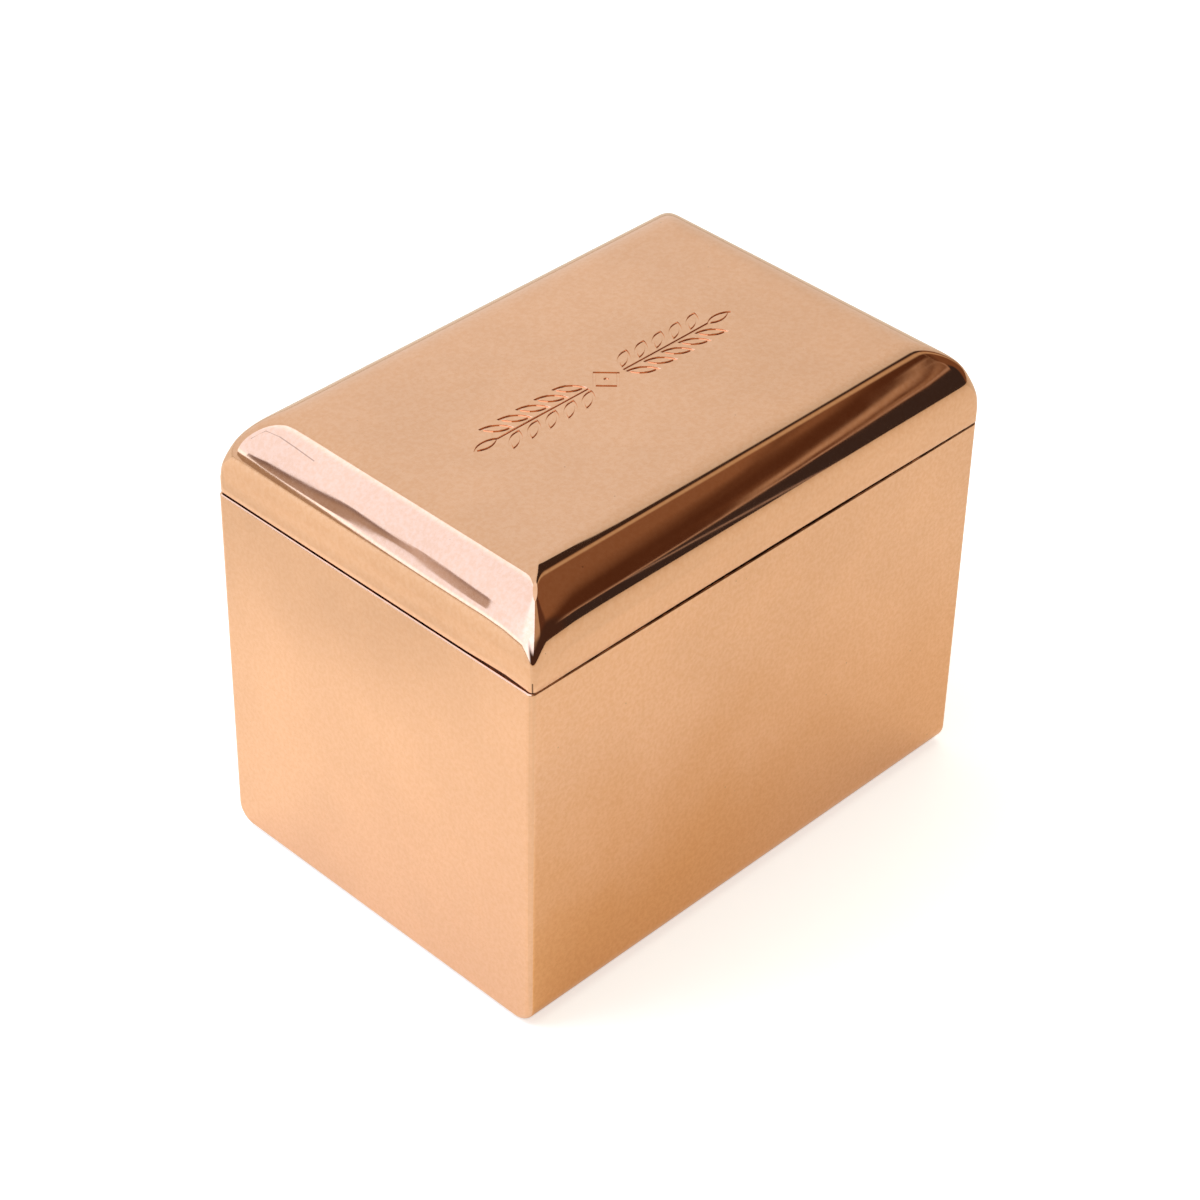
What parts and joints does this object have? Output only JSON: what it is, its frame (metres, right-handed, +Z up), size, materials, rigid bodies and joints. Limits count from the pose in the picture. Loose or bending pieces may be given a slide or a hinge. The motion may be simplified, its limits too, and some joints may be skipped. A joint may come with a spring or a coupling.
{
  "type": "recipe box",
  "caption": "Polished copper recipe box with a hinged lid rolled down on all four sides, engraved with a leaf sprig, for index cards.",
  "frame": {"origin": "middle of the box's footprint, on the surface it stands on", "axes": "+X along the long front to the right, -Y out of the front, +Y to the hinge side, +Z up"},
  "size_m": [0.17, 0.1231, 0.1386],
  "materials": {
    "copper": "polished",
    "brass": "polished",
    "felt": "matt"
  },
  "bodies": {
    "base": {"base_wrap": "copper", "left_end_panel": "copper", "right_end_panel": "copper", "rim_collar": "copper", "base_felt": "felt", "left_hinge_base_leaf": "brass", "right_hinge_base_leaf": "brass", "left_hinge_pin": "brass", "right_hinge_pin": "brass", "base_rivets": "brass"},
    "lid": {"lid_shell": "copper", "left_hinge_lid_leaf": "brass", "right_hinge_lid_leaf": "brass", "lid_rivets": "brass"}
  },
  "joints": [
    {"name": "lid_hinge", "type": "hinge", "parent": "base", "child": "lid", "pos_m": [0, 0.0609, 0.114], "axis": [-1, 0, 0], "range_deg": [0, 105]}
  ]
}
